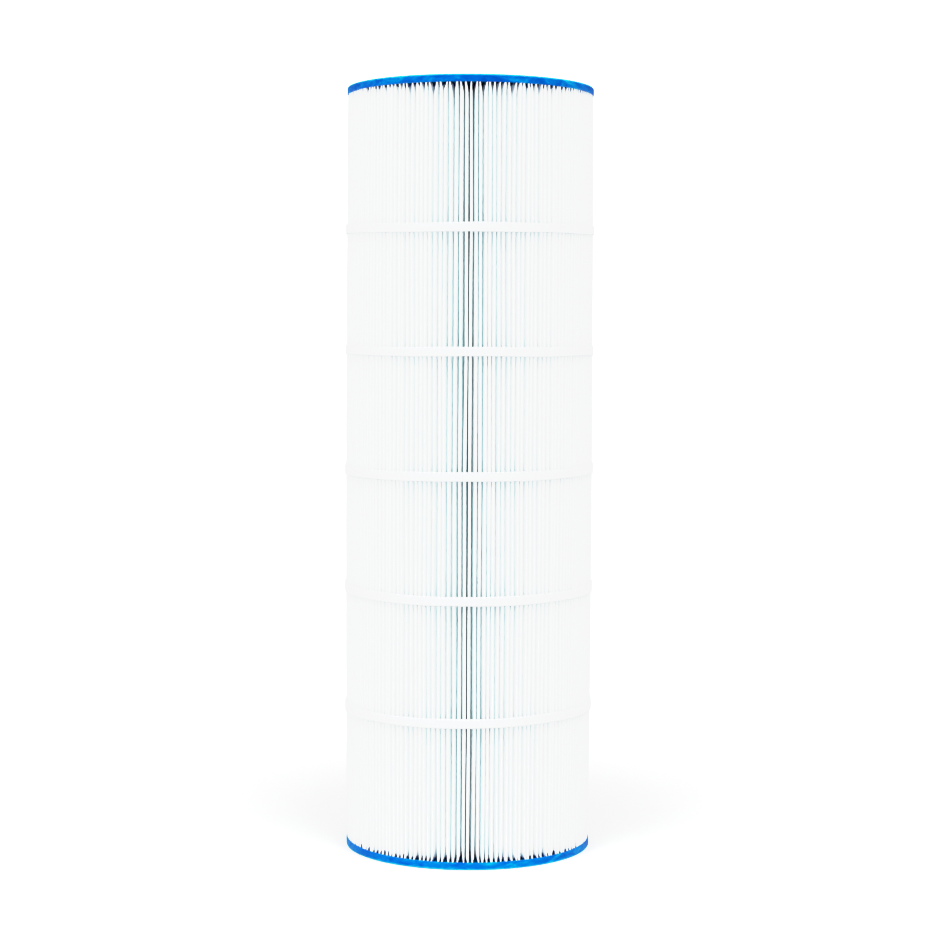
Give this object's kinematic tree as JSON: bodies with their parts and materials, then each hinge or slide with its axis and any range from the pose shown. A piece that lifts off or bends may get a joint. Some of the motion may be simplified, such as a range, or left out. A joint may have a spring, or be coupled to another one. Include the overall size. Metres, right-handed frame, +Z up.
{
  "type": "filter cartridge",
  "caption": "Tall pleated pool filter cartridge: white folded media around a perforated core, held by straps, with a blue cast cap and round opening at each end.",
  "frame": {"origin": "middle of the bottom face, on the cartridge's axis, where it stands", "axes": "+Z up along the cartridge's axis; +Y towards the media's seam, which is at the back; -Y is the side that faces the viewer"},
  "size_m": [0.178, 0.179, 0.55],
  "materials": {
    "cap_urethane": "satin cast polyurethane",
    "filter_media": "matt spun-bonded polyester",
    "strap": "white polyester strap",
    "core_plastic": "satin moulded",
    "seam_glue": "hot-melt adhesive"
  },
  "bodies": {
    "root": {"end_cap_top": "cap_urethane", "end_cap_bottom": "cap_urethane", "pleated_media": "filter_media", "media_seam_strip": "seam_glue", "band_1": "strap", "band_2": "strap", "band_3": "strap", "band_4": "strap", "band_5": "strap", "core_section_lower": "core_plastic", "core_section_middle": "core_plastic", "core_section_upper": "core_plastic"}
  },
  "joints": []
}
